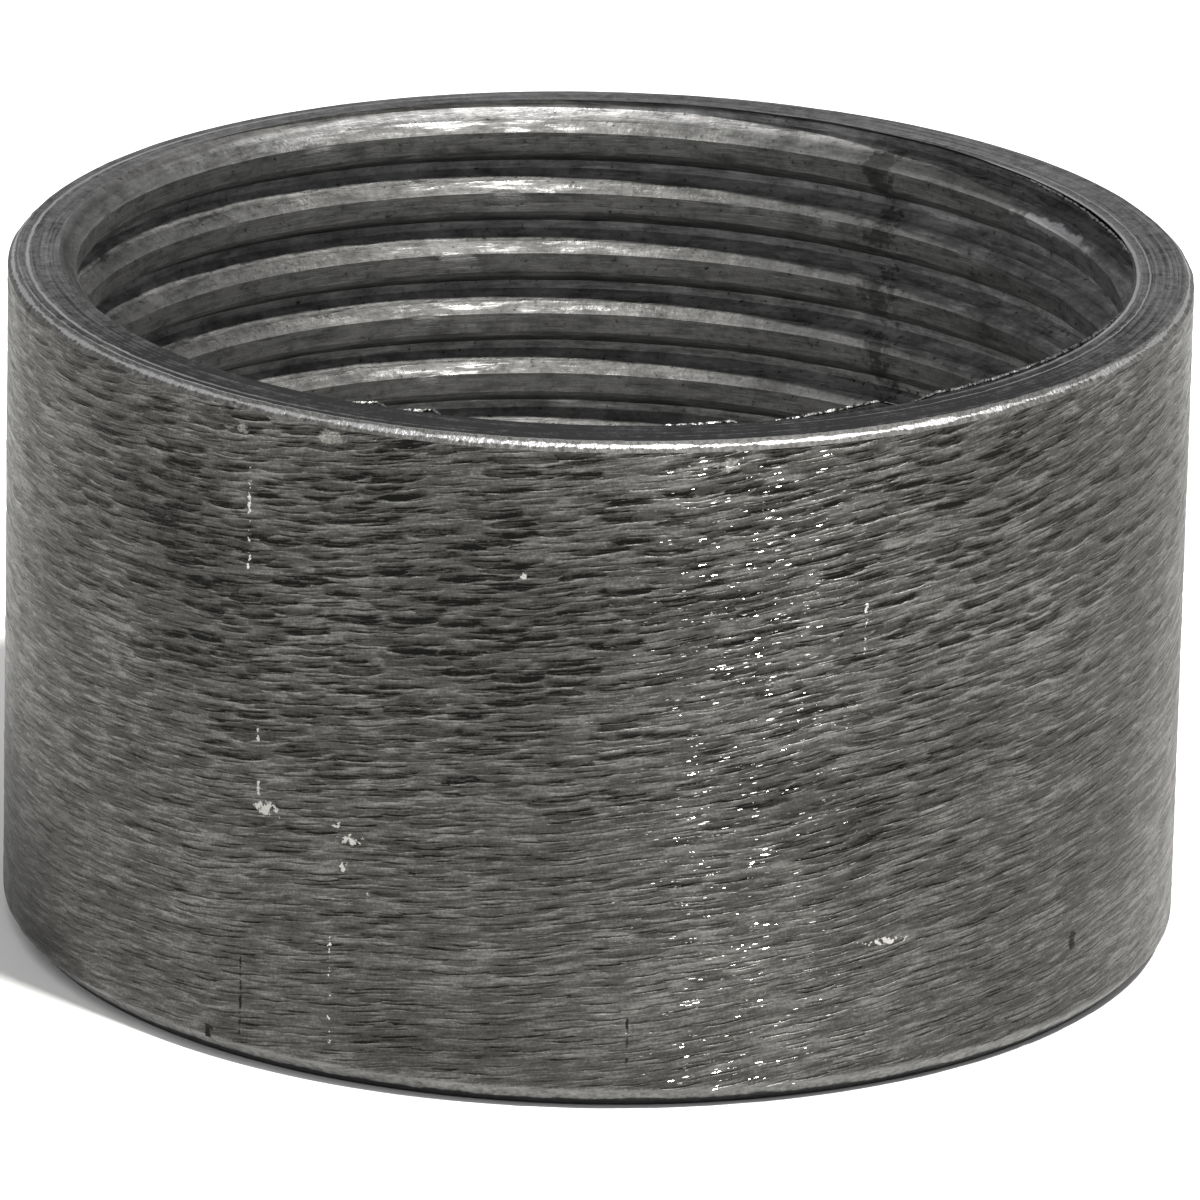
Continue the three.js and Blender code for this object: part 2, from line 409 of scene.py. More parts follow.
def thread_and_grinding_tree(materials):
    """Cuts the thread's groove into the bore and the belt's scallops into the wall.

    Points only move along their radius."""
    tree, given, end = new_tree("thread_and_grinding", THREAD_INPUTS)
    place = add(tree, "GeometryNodeInputPosition")
    apart = add(tree, SPLIT, place).node.outputs
    flat = add(tree, JOIN, apart["X"], apart["Y"], 0.0)
    radius = add(tree, VECTOR, flat, operation="LENGTH", out="Value")
    outward = add(tree, VECTOR, flat, operation="NORMALIZE")

    # Which turn of the groove is nearest, and how far away its centre is.
    angle = add(tree, MATH, apart["X"], apart["Y"], operation="ARCTAN2")
    turned = add(tree, MATH, angle, 1 / (2 * math.pi), given["Clocking turns"], operation="MULTIPLY_ADD")
    share = add(tree, MATH, turned, operation="FRACT")
    below = add(tree, MATH, given["Height"], apart["Z"], operation="SUBTRACT")
    turns_below = add(tree, MATH, below, given["Pitch"], operation="DIVIDE")
    from_start = add(tree, MATH, turns_below, share, operation="SUBTRACT")
    nearest = add(tree, MATH, from_start, operation="ROUND")
    offset = add(tree, MATH, from_start, nearest, operation="SUBTRACT")
    offset = add(tree, MATH, offset, given["Pitch"], operation="MULTIPLY")
    offset = add(tree, MATH, offset, operation="ABSOLUTE")

    # The groove's depth there: flat root, straight flanks, and a run-out at its end.
    half_root = add(tree, MATH, given["Root flat"], 0.5, operation="MULTIPLY")
    opening = add(tree, MATH, given["Depth"], given["Flank slope"], half_root, operation="MULTIPLY_ADD")
    flank = add(tree, MATH, opening, offset, operation="SUBTRACT")
    flank = add(tree, MATH, flank, given["Flank slope"], operation="DIVIDE")
    cut = add(tree, MATH, flank, given["Depth"], operation="MINIMUM")
    along = add(tree, MATH, nearest, share, operation="ADD")
    total = add(tree, MATH, given["Threaded length"], given["Pitch"], operation="DIVIDE")
    left = add(tree, MATH, total, along, operation="SUBTRACT")
    left = add(tree, MATH, left, given["Run-out turns"], operation="DIVIDE")
    lift = add(tree, MATH, 1.0, left, operation="SUBTRACT")
    lift = add(tree, MATH, lift, 0.0, operation="MAXIMUM")
    lift = add(tree, MATH, lift, given["Depth"], operation="MULTIPLY")
    cut = add(tree, MATH, cut, lift, operation="SUBTRACT")
    cut = add(tree, MATH, cut, 0.0, operation="MAXIMUM")

    # Crests and flanks are a little uneven, as a worn tap leaves them.
    ring_place = add(tree, VECTOR, place, (400.0, 400.0, 1500.0), operation="MULTIPLY")
    tear = add(tree, NOISE, sockets={"Vector": ring_place, "Scale": 1.0, "Detail": 3.0, "Roughness": 0.6})
    tear = add(tree, RANGE, tear, 0.3, 0.75, 0.0, 0.09 * MM)
    threaded = add(tree, MATH, given["Bore radius"], cut, operation="ADD")
    threaded = add(tree, MATH, threaded, tear, operation="ADD")
    wide = add(tree, MATH, radius, threaded, operation="MAXIMUM")

    # The rim runs from the wall's edge to whatever the groove leaves of the mouth's edge.
    rim_weight = add(tree, ATTRIBUTE, "rim_weight", data_type="FLOAT")
    rim_edge = add(tree, MATH, given["Rim inner radius"], threaded, operation="MAXIMUM")
    on_rim = add(tree, RANGE, rim_weight, 0.0, 1.0, given["Rim outer radius"], rim_edge)
    is_rim = add(tree, MATH, rim_weight, -0.5, operation="GREATER_THAN")

    # Scallops that the grinding belt left on the wall, long round the cap and short along it.
    in_mm = add(tree, VECTOR, place, 1 / MM, operation="SCALE")
    mark = scallops(tree, slanted_place(tree, in_mm), 2.4, 0.62)
    waves = add(tree, NOISE, in_mm, 0.35, 2.0, 0.5)
    belt = add(tree, RANGE, mark, -0.4, 0.3, 0.85, 0.1)
    belt = layered(tree, belt, (waves, 0.6))
    wall_weight = add(tree, ATTRIBUTE, "wall_weight", data_type="FLOAT")
    ground = add(tree, MATH, belt, given["Grinding depth"], operation="MULTIPLY")
    ground = add(tree, MATH, ground, wall_weight, operation="MULTIPLY")

    # Put the three together.
    region = add(tree, ATTRIBUTE, "region", data_type="INT")
    bore_weight = add(tree, ATTRIBUTE, "bore_weight", data_type="FLOAT")
    chosen = add(tree, MIX, bore_weight, radius, wide)
    chosen = add(tree, MIX, is_rim, chosen, on_rim)
    chosen = add(tree, MATH, chosen, ground, operation="SUBTRACT")
    moved = add(tree, VECTOR, outward, chosen, operation="SCALE")
    lift = add(tree, JOIN, 0.0, 0.0, apart["Z"])
    moved = add(tree, VECTOR, moved, lift, operation="ADD")
    shape = add(tree, "GeometryNodeSetPosition", given["Geometry"], sockets={"Position": moved})
    shape = add(tree, "GeometryNodeRealizeInstances", shape)
    for number, name in enumerate(REGIONS):
        here = add(tree, "FunctionNodeCompare", region, number, data_type="INT", operation="EQUAL")
        shape = add(tree, "GeometryNodeSetMaterial", shape, here, materials[name])
    tree.links.new(shape, end.inputs[0])
    return tree


# ------------------------ burrs along the mouth's inner edge

# From the front towards +X in degrees: start and end. Then where between them the burr is widest, and how
# wide it is there as a share of the longest reach.
BURRS = (
    (-27.0, -22.4, 0.6, 0.66),
    (-21.2, -16.4, 0.7, 0.7),
    (-7.0, -1.0, 0.5, 0.12),
    (5.0, 15.6, 0.86, 0.52),
    (17.6, 33.4, 0.9, 1.0),
    (33.6, 78.0, 0.12, 0.62),
    (96.0, 128.0, 0.4, 0.18),
)

POINTS_PER_DEGREE = 2.2
FEWEST_POINTS = 6

BURR_INPUTS = {
    "Highest": "NodeSocketFloat",
    "Jaggedness": "NodeSocketFloat",
    "Grain": "NodeSocketFloat",
    "Sides": "NodeSocketInt",
}


def burr_paths(s):
    """Wire along each burr: one path down the middle of its web and one along its rolled lip."""
    edge = s.bore_diameter / 2 + s.mouth_inner_chamfer
    points, edges, half_widths, lips = [], [], [], []
    for start, end, peak, share in BURRS:
        count = int((end - start) * POINTS_PER_DEGREE) + FEWEST_POINTS
        along = np.linspace(0, 1, count)
        swell = np.where(along < peak, along / peak, (1 - along) / (1 - peak))
        reach = s.burr_reach * share * np.clip(swell, 0, 1) ** 0.75
        angle = np.radians(start + (end - start) * along)
        for is_lip in (False, True):
            radius = edge - reach if is_lip else edge - reach / 2 + 0.03 * MM
            first = len(points)
            height = HEIGHT - (0.75 if is_lip else 1.0) * s.burr_thickness
            level = np.full(count, height)
            points += np.stack([radius * np.sin(angle), -radius * np.cos(angle), level], -1).tolist()
            edges += [(first + k, first + k + 1) for k in range(count - 1)]
            full = np.full(count, s.burr_thickness / 2) if is_lip else reach / 2 + 0.05 * MM
            taper = np.clip(np.minimum(along, 1 - along) * 12, 0.3, 1)
            half_widths += (full * taper).tolist()
            lips += [is_lip] * count
    mesh = bpy.data.meshes.new("burr_paths")
    mesh.from_pydata(points, edges, [])
    for label, values in (("half_width", half_widths), ("is_lip", lips)):
        layer = mesh.attributes.new(label, "FLOAT", "POINT")
        layer.data.foreach_set("value", np.array(values, np.float32))
    return mesh


def burr_tree(web_material, lip_material):
    """Sweeps a flat web and a round lip along the burrs' paths, then tears both a little."""
    tree, given, end = new_tree("swept_burrs", BURR_INPUTS)
    is_lip = add(tree, ATTRIBUTE, "is_lip", data_type="FLOAT")
    is_lip = add(tree, MATH, is_lip, 0.5, operation="GREATER_THAN")
    half_width = add(tree, ATTRIBUTE, "half_width", data_type="FLOAT")
    parts = add(tree, "GeometryNodeSeparateGeometry", given["Geometry"], is_lip, domain="POINT")
    parts = parts.node.outputs
    round_profile = add(tree, "GeometryNodeCurvePrimitiveCircle", given["Sides"], sockets={"Radius": 1.0})
    flat_profile = add(tree, "GeometryNodeCurvePrimitiveQuadrilateral", 2.0, 0.12, 0.12, mode="KITE")
    swept = []
    for wire, profile, material in (
        (parts["Inverted"], flat_profile, web_material),
        (parts["Selection"], round_profile, lip_material),
    ):
        path = add(tree, "GeometryNodeMeshToCurve", wire)
        path = add(tree, "GeometryNodeSetCurveNormal", path, mode="Z_UP")
        part = add(tree, "GeometryNodeCurveToMesh", path, profile, half_width, True)
        swept.append(add(tree, "GeometryNodeSetMaterial", part, True, material))
    shape = tree.nodes.new("GeometryNodeJoinGeometry")
    for part in reversed(swept):
        tree.links.new(part, shape.inputs[0])
    place = add(tree, "GeometryNodeInputPosition")
    fine_place = add(tree, VECTOR, place, operation="SCALE", sockets={"Scale": given["Grain"]})
    torn = add(tree, NOISE, fine_place, 1.0, 3.0, 0.7, out="Color")
    torn = add(tree, VECTOR, torn, (-0.5, -0.5, -0.5), operation="ADD")
    torn = add(tree, VECTOR, torn, operation="SCALE", sockets={"Scale": given["Jaggedness"]})
    moved = add(tree, VECTOR, place, torn, operation="ADD")
    part = add(tree, SPLIT, moved).node.outputs
    held = add(tree, MATH, part["Z"], given["Highest"], operation="MINIMUM")
    moved = add(tree, JOIN, part["X"], part["Y"], held)
    shape = add(tree, "GeometryNodeSetPosition", shape.outputs[0], sockets={"Position": moved})
    shape = add(tree, "GeometryNodeSetShadeSmooth", shape, True, False)
    shape = add(tree, "GeometryNodeRealizeInstances", shape)
    tree.links.new(shape, end.inputs[0])
    return tree


# ------------------------ finishes

def new_material(name):
    """A material with a Principled surface: the material, its tree and the surface node."""
    material = bpy.data.materials.new(name)
    material.use_nodes = True
    tree = material.node_tree
    return material, tree, tree.nodes["Principled BSDF"]


def finish_surface(tree, surface, **sockets):
    """Links or sets the surface's sockets. An underscore in a name stands for a space."""
    for name, value in sockets.items():
        socket = surface.inputs[name.replace("_", " ")]
        if isinstance(value, bpy.types.NodeSocket):
            tree.links.new(value, socket)
        else:
            socket.default_value = value


def place_in_mm(tree):
    """The point on the piece in millimetres, and its three parts."""
    place = add(tree, COORDINATES, out="Object")
    place = add(tree, VECTOR, place, 1 / MM, operation="SCALE")
    return place, add(tree, SPLIT, place).node.outputs


def polar(tree, part):
    """Distance from the axis, and the direction away from it."""
    flat = add(tree, JOIN, part["X"], part["Y"], 0.0)
    direction = add(tree, VECTOR, flat, operation="NORMALIZE")
    return add(tree, VECTOR, flat, operation="LENGTH", out="Value"), direction


def local_mark(tree, place, part, mark, rough_edge, radius=WALL_MM):
    """1 on a mark and 0 off it.

    A mark is (azimuth, low, high, half width, stretch round the cap, raggedness)."""
    azimuth, low, high, half_width, stretch, raggedness = mark
    turn = math.radians(azimuth)
    height = add(tree, "ShaderNodeClamp", part["Z"], low, high)
    spine = add(tree, JOIN, radius * math.sin(turn), -radius * math.cos(turn), height)
    away = add(tree, VECTOR, place, spine, operation="SUBTRACT")
    away = add(tree, VECTOR, away, (1 / stretch, 1 / stretch, 1.0), operation="MULTIPLY")
    away = add(tree, VECTOR, away, operation="LENGTH", out="Value")
    away = layered(tree, away, (rough_edge, raggedness))
    return add(tree, RANGE, away, half_width, half_width * 0.6, 0.0, 1.0)


def any_mark(tree, place, part, marks, rough_edge):
    """1 on any of the marks and 0 off them."""
    strongest = 0.0
    for mark in marks:
        here = local_mark(tree, place, part, mark, rough_edge)
        strongest = add(tree, MATH, here, strongest, operation="MAXIMUM")
    return strongest


# Azimuth from the front towards +X in degrees, then low, high and half width in mm, stretch and raggedness.
PAINT_FLECKS = (
    (-33.1, 11.5, 11.9, 0.04, 1.0, 0.7),
    (-32.9, 9.65, 10.0, 0.06, 1.0, 0.5),
    (-32.3, 9.2, 9.25, 0.2, 1.6, 0.9),
    (-30.9, 9.1, 9.25, 0.08, 1.2, 0.6),
    (-24.3, 9.1, 9.3, 0.06, 1.2, 0.6),
    (-22.9, 8.65, 8.7, 0.1, 3.0, 0.8),
    (-23.8, 7.6, 7.8, 0.05, 1.4, 0.6),
    (-20.9, 6.7, 6.9, 0.06, 1.2, 0.5),
    (29.5, 5.2, 5.24, 0.05, 9.0, 0.45),
    (-6.5, 18.4, 18.42, 0.06, 2.4, 0.4),
)
PAINT_SMEARS = (
    (-25.6, 22.35, 22.4, 0.26, 1.9, 0.35),
    (-35.3, 22.02, 22.06, 0.15, 1.6, 0.4),
    (12.4, 22.2, 22.3, 0.2, 1.6, 0.5),
)
PALE_SCRATCHES = (
    (-34.4, 17.0, 20.7, 0.03, 1.0, 0.5),
    (-24.9, 1.5, 5.2, 0.02, 1.0, 0.4),
    (26.4, 15.4, 17.6, 0.02, 1.0, 0.5),
)
DARK_MARKS = (
    (-34.7, 1.1, 3.9, 0.07, 1.0, 0.15),
    (4.05, 1.4, 3.2, 0.07, 1.0, 0.12),
    (22.8, 1.4, 3.0, 0.05, 1.0, 0.2),
    (54.1, 3.15, 3.45, 0.24, 0.9, 0.5),
    (-76.5, 22.5, 22.9, 0.16, 1.0, 0.5),
    (-72.5, 22.35, 22.7, 0.2, 1.3, 0.6),
    (-38.4, 0.5, 0.9, 0.2, 1.0, 0.5),
)
DARK_PATCH = (-40.0, 12.0, 15.0, 5.0, 1.0, 4.0)
# In the bore, each with the distance from the axis in mm at which it lies.
SCAR, SCAR_RADIUS = (147.0, 12.5, 22.4, 0.62, 1.0, 2.8), 17.9
LIP_PATCH, LIP_RADIUS = (119.0, 21.68, 21.74, 0.19, 13.0, 0.5), 17.75
GROOVE_START_TURN = math.radians(59)
GROOVE_START = (math.sin(GROOVE_START_TURN), math.cos(GROOVE_START_TURN), 0.0)
# Radius and half width in mm of each pale line on the rim, and the side where it is strongest.
RUBBED_LINES = (
    (19.3, 0.08, (-0.9, 0.1, 0.0)),
    (18.06, 0.08, (0.9, 0.35, 0.0)),
    (18.45, 0.03, (1.0, 0.0, 0.0)),
    (19.62, 0.05, (-0.3, -0.9, 0.0)),
)


def belt_tone(tree, place, part, along, grain):
    """The ground wall's tone from 0 to 1, and the relief that goes with it."""
    high = add(tree, RANGE, part["Z"], 3.0, 17.0, 0.25, 1.0)
    coarse = scallops(tree, along, 1.75, 0.55)
    between = add(tree, VECTOR, along, (3.3, 1.7, 0.9), operation="ADD")
    second = scallops(tree, between, 1.3, 0.4, dark_until=0.8)
    fine = scallops(tree, along, 1.35, 0.25, dark_until=0.62)
    # Painted reflection: the marks fade towards ±X, where the wall is seen at a low angle.
    side = add(tree, MATH, part["X"], operation="ABSOLUTE")
    side = add(tree, RANGE, side, 11.0, 19.5, 1.0, 0.45)
    scratch_place = add(tree, VECTOR, along, (1.5, 1.5, 14.0), operation="MULTIPLY")
    scratch = add(tree, NOISE, scratch_place, 1.0, 3.0, 0.65)
    streak_place = add(tree, VECTOR, along, (0.55, 0.55, 4.2), operation="MULTIPLY")
    streak = add(tree, NOISE, streak_place, 1.0, 2.0, 0.5)
    patch = add(tree, NOISE, place, 0.13, 3.0, 0.55)

    tone = layered(tree, coarse, (second, 0.75))
    tone = add(tree, MATH, tone, high, operation="MULTIPLY")
    tone = layered(tree, tone, (fine, 0.9))
    for factor in (side, 1.3):
        tone = add(tree, MATH, tone, factor, operation="MULTIPLY")
    relief = layered(tree, tone, (scratch, 0.6))
    patchy = add(tree, MATH, patch, -0.5, operation="ADD")
    shadow = local_mark(tree, place, part, DARK_PATCH, patchy)
    tone = layered(
        tree, tone, (scratch, 1.0), (streak, 0.9), (grain, 0.6), (patch, 0.75), (shadow, -0.1))
    return add(tree, RANGE, tone, 0.9, 2.25, 0.0, 1.0), relief


def belt_glints(tree, place, along):
    """Ledges so small that each is one glint, in short rows: where they are, and the normal they have."""
    speck_place = add(tree, VECTOR, along, (2.0, 2.0, 19.0), operation="MULTIPLY")
    specks = add(tree, CELLS, speck_place, 1.0).node.outputs
    own = add(tree, "ShaderNodeSeparateColor", specks["Color"]).node.outputs
    rows = add(tree, VECTOR, along, (0.7, 0.7, 6.0), operation="MULTIPLY")
    rows = add(tree, NOISE, rows, 1.0, 2.0, 0.5)
    crowd = add(tree, RANGE, rows, 0.4, 0.58, 1.0, 0.16)
    speck = add(tree, MATH, own["Red"], crowd, operation="GREATER_THAN")
    small = add(tree, RANGE, own["Green"], 0.0, 1.0, 0.1, 0.31)
    small = add(tree, MATH, specks["Distance"], small, operation="LESS_THAN")
    broken = add(tree, NOISE, place, 8.0, 2.0, 0.6)
    broken = add(tree, MATH, broken, 0.48, operation="GREATER_THAN")
    for limit in (small, broken):
        speck = add(tree, MATH, speck, limit, operation="MULTIPLY")

    tilt = add(tree, RANGE, own["Blue"], 0.0, 1.0, 0.62, 1.1)
    aside = add(tree, MATH, own["Green"], 17.0, operation="MULTIPLY")
    aside = add(tree, MATH, aside, operation="FRACT")
    aside = add(tree, RANGE, aside, 0.0, 1.0, -0.1, 0.1)
    ledge = add(tree, JOIN, aside, 0.0, tilt)
    normal = add(tree, "ShaderNodeNewGeometry", out="Normal")
    return speck, add(tree, VECTOR, normal, ledge, operation="ADD")


def belt_ground_steel():
    """Bare carbon steel ground on a coarse belt.

    Dark lens-shaped marks 1.3 to 1.8 mm long and 0.25 to 0.55 mm high with a bright lip under each, the dark
    painted as shade under the lip and the lip painted as a highlight, fine scratches between them, and tiny
    ledges that catch the light."""
    c = colours()
    s = sizes()
    material, tree, surface = new_material("belt_ground_carbon_steel")
    place, part = place_in_mm(tree)
    along = slanted_place(tree, place)
    grain = add(tree, NOISE, place, 11.0, 2.0, 0.6)
    tone, relief = belt_tone(tree, place, part, along, grain)
    # The tone's dark and bright ends are the belt marks' painted shade and painted highlight.
    shade = ramp(tree, tone, (0.0, c.wall_dark), (0.5, c.wall_mid), (1.0, c.wall_light))
    speck, ledge = belt_glints(tree, place, along)
    bump = add(tree, BUMP, sockets={"Strength": 0.6, "Distance": 0.05 * MM, "Height": relief})
    normal = add(tree, MIX, speck, bump, ledge, data_type="VECTOR")
    normal = add(tree, VECTOR, normal, operation="NORMALIZE")
    # Painted light: the ledges are made paler, so those that miss the lamp don't show dark.
    pale = add(tree, MATH, speck, 0.5, operation="MULTIPLY")

    # The worn line where the wall meets the chamfer round the closed end.
    worn_at = s.end_chamfer / MM
    wear = layered(tree, part["Z"], (grain, 0.3))
    wear = add(tree, RANGE, wear, worn_at + 0.2, worn_at + 0.3, 0.22, 0.0)
    shade = coated(tree, shade, (pale, c.wall_light), (wear, c.edge))

    # Single marks, scratches and paint.
    ragged = add(tree, NOISE, place, 5.0, 3.0, 0.6)
    ragged = add(tree, MATH, ragged, -0.5, operation="ADD")
    for marks, colour in ((DARK_MARKS, c.soil), (PALE_SCRATCHES, c.edge)):
        for mark in marks:
            shade = coated(tree, shade, (local_mark(tree, place, part, mark, ragged), colour))
    painted = any_mark(tree, place, part, PAINT_FLECKS, ragged)
    smear = any_mark(tree, place, part, PAINT_SMEARS, ragged)
    veil = add(tree, RANGE, grain, 0.3, 0.7, 0.1, 0.65)
    veil = add(tree, MATH, smear, veil, operation="MULTIPLY")
    shade = coated(tree, shade, (painted, c.paint), (veil, c.paint))
    rough = add(tree, RANGE, tone, 0.0, 1.0, 0.52, 0.31)
    rough = add(tree, MIX, speck, rough, 0.18)
    metal = add(tree, MATH, 1.0, painted, operation="SUBTRACT")
    finish_surface(tree, surface, Base_Color=shade, Metallic=metal, Roughness=rough, Normal=normal,
                   Specular_Tint=(0.8, 0.8, 0.8, 1.0))
    return material


def turned_steel(name, tint, ring_width, contrast, roughness, rubbed=False):
    """Steel faced in a lathe: fine rings round the axis, each a little lighter or darker than the next.

    A mottled film of soil lies over them. A rubbed face also has pale lines along its edges and is painted
    darker towards the front, as shade."""
    material, tree, surface = new_material(name)
    place, part = place_in_mm(tree)
    radius, direction = polar(tree, part)
    ring_place = add(tree, VECTOR, direction, 2.2, operation="SCALE")
    across = add(tree, MATH, radius, 1 / ring_width, operation="MULTIPLY")
    ring_place = add(tree, VECTOR, ring_place, add(tree, JOIN, 0.0, 0.0, across), operation="ADD")
    rings = add(tree, NOISE, ring_place, 1.0, 4.0, 0.75)
    soil = add(tree, NOISE, place, 0.45, 3.0, 0.6)
    mottle = add(tree, NOISE, place, 2.2, 4.0, 0.7)
    pits = add(tree, NOISE, place, 8.0, 2.0, 0.6)
    tone = add(tree, MATH, rings, contrast, operation="MULTIPLY")
    tone = layered(tree, tone, (soil, 0.9), (mottle, 1.5), (pits, 0.9))
    middle = contrast * 0.5 + 1.65
    if rubbed:
        # Painted shade: the rubbed face darkens towards the front (-Y).
        front = add(tree, RANGE, part["Y"], -14.0, -3.0, -0.68, 0.0)
        tone = add(tree, MATH, tone, front, operation="ADD")
    tone = add(tree, RANGE, tone, middle - 0.6, middle + 0.6, 0.0, 1.0)
    shade = ramp(tree, tone, (0.0, times(tint, 0.22)), (0.5, tint), (1.0, times(tint, 1.8)))
    if rubbed:
        shade = rubbed_lines(tree, shade, radius, direction, mottle)
        # The film of soil takes away much of the shine that bare metal has at a low angle.
        finish_surface(tree, surface, Specular_Tint=(0.7, 0.7, 0.7, 1.0))
    bump = add(tree, BUMP, sockets={"Strength": 0.5, "Distance": 0.02 * MM, "Height": tone})
    rough = add(tree, RANGE, soil, 0.3, 0.7, roughness + 0.08, roughness - 0.06)
    finish_surface(tree, surface, Base_Color=shade, Metallic=1.0, Roughness=rough, Normal=bump)
    return material


def rubbed_lines(tree, shade, radius, direction, mottle):
    """The shade with the rim's pale lines over it."""
    wavering = layered(tree, radius, (mottle, 0.16))
    for line_radius, half_width, towards in RUBBED_LINES:
        away = add(tree, MATH, wavering, -line_radius - 0.08, operation="ADD")
        away = add(tree, MATH, away, operation="ABSOLUTE")
        line = add(tree, RANGE, away, half_width * 0.4, half_width, 1.0, 0.0)
        side = add(tree, VECTOR, direction, towards, operation="DOT_PRODUCT", out="Value")
        side = layered(tree, side, (mottle, 0.8))
        side = add(tree, RANGE, side, 0.5, 1.2, 0.0, 1.0)
        line = add(tree, MATH, line, side, operation="MULTIPLY")
        shade = coated(tree, shade, (line, colours().edge))
    return shade


def rubbed_edge_steel():
    """The small chamfer outside the mouth: dark like the wall, with a broken bright line along it."""
    c = colours()
    material, tree, surface = new_material("rubbed_edge_carbon_steel")
    place, part = place_in_mm(tree)
    grain = add(tree, NOISE, place, 5.0, 3.0, 0.6)
    patch = add(tree, NOISE, place, 0.8, 3.0, 0.6)
    middle = (HEIGHT - sizes().mouth_outer_chamfer * 0.45) / MM
    away = add(tree, MATH, part["Z"], -middle - 0.06, operation="ADD")
    away = layered(tree, away, (grain, 0.12))
    away = add(tree, MATH, away, operation="ABSOLUTE")
    width = add(tree, RANGE, patch, 0.38, 0.65, 0.02, 0.075)
    line = add(tree, MATH, away, width, operation="DIVIDE")
    line = add(tree, RANGE, line, 0.5, 1.3, 0.85, 0.0)
    shade = ramp(tree, grain, (0.3, c.wall_mid), (0.9, c.wall_light))
    shade = coated(tree, shade, (line, c.edge))
    bump = add(tree, BUMP, sockets={"Strength": 0.8, "Distance": 0.08 * MM, "Height": grain})
    rough = add(tree, MIX, line, 0.7, 0.4)
    finish_surface(tree, surface, Base_Color=shade, Metallic=1.0, Roughness=rough, Normal=bump)
    return material


def shaded_end_chamfer_steel():
    """The chamfer round the closed end: painted near black as shade, since it faces down. The belt only
    reached its upper edge, which has the wall's colours.
    """
    c = colours()
    material, tree, surface = new_material("mill_scale_carbon_steel")
    place, part = place_in_mm(tree)
    grain = add(tree, NOISE, place, 4.0, 4.0, 0.65)
    reached = add(tree, NOISE, place, 0.5, 4.0, 0.6)
    reached = layered(tree, part["Z"], (reached, 0.5))
    belt_edge = sizes().end_chamfer / MM * 0.5 + 0.25
    reached = add(tree, RANGE, reached, belt_edge - 0.03, belt_edge + 0.03, 0.0, 1.0)
    # Painted shade: near black, with a little grain.
    shade = ramp(tree, grain, (0.3, c.scale), (0.75, times(c.scale, 3.0)))
    ground = ramp(tree, grain, (0.3, c.wall_mid), (0.7, c.wall_light))
    shade = coated(tree, shade, (reached, ground))
    bump = add(tree, BUMP, sockets={"Strength": 0.6, "Distance": 0.04 * MM, "Height": grain})
    finish_surface(tree, surface, Base_Color=shade, Metallic=0.6, Roughness=0.6, Normal=bump)
    return material


def mouth_band(tree, direction, depth, stain, ragged, smear):
    """How strongly the chamfer inside the mouth is rubbed bright, in streaks, and painted brightest at the
    back as a highlight.
    """
    uneven = layered(tree, depth, (stain, 0.5))
    uneven = add(tree, MATH, uneven, -0.25, operation="ADD")
    uneven = layered(tree, uneven, (ragged, 0.3))
    rubbed = ramp(tree, uneven, (0.16, 0.0), (0.26, 1.0), (0.5, 1.0), (0.66, 0.0))
    # Painted highlight: strongest at the back, where the lamp's highlight falls.
    back = add(tree, VECTOR, direction, (-0.05, 1.0, 0.0), operation="DOT_PRODUCT", out="Value")
    back = add(tree, RANGE, back, 0.6, 0.97, 0.05, 0.6)
    streaky = add(tree, RANGE, smear, 0.42, 0.56, 0.1, 1.0)
    for factor in (back, streaky):
        rubbed = add(tree, MATH, rubbed, factor, operation="MULTIPLY")
    return rubbed


def first_groove_shadow(tree, direction, depth, into_groove):
    """Painted shadow: the dark, smooth stretch where the first groove starts."""
    start = add(tree, VECTOR, direction, GROOVE_START, operation="DOT_PRODUCT", out="Value")
    start = add(tree, RANGE, start, 0.84, 0.95, 0.0, 0.55)
    near_mouth = add(tree, RANGE, depth, 1.1, 1.25, 1.0, 0.0)
    in_groove = add(tree, RANGE, into_groove, 0.12, 0.2, 0.0, 1.0)
    for factor in (near_mouth, in_groove):
        start = add(tree, MATH, start, factor, operation="MULTIPLY")
    return start


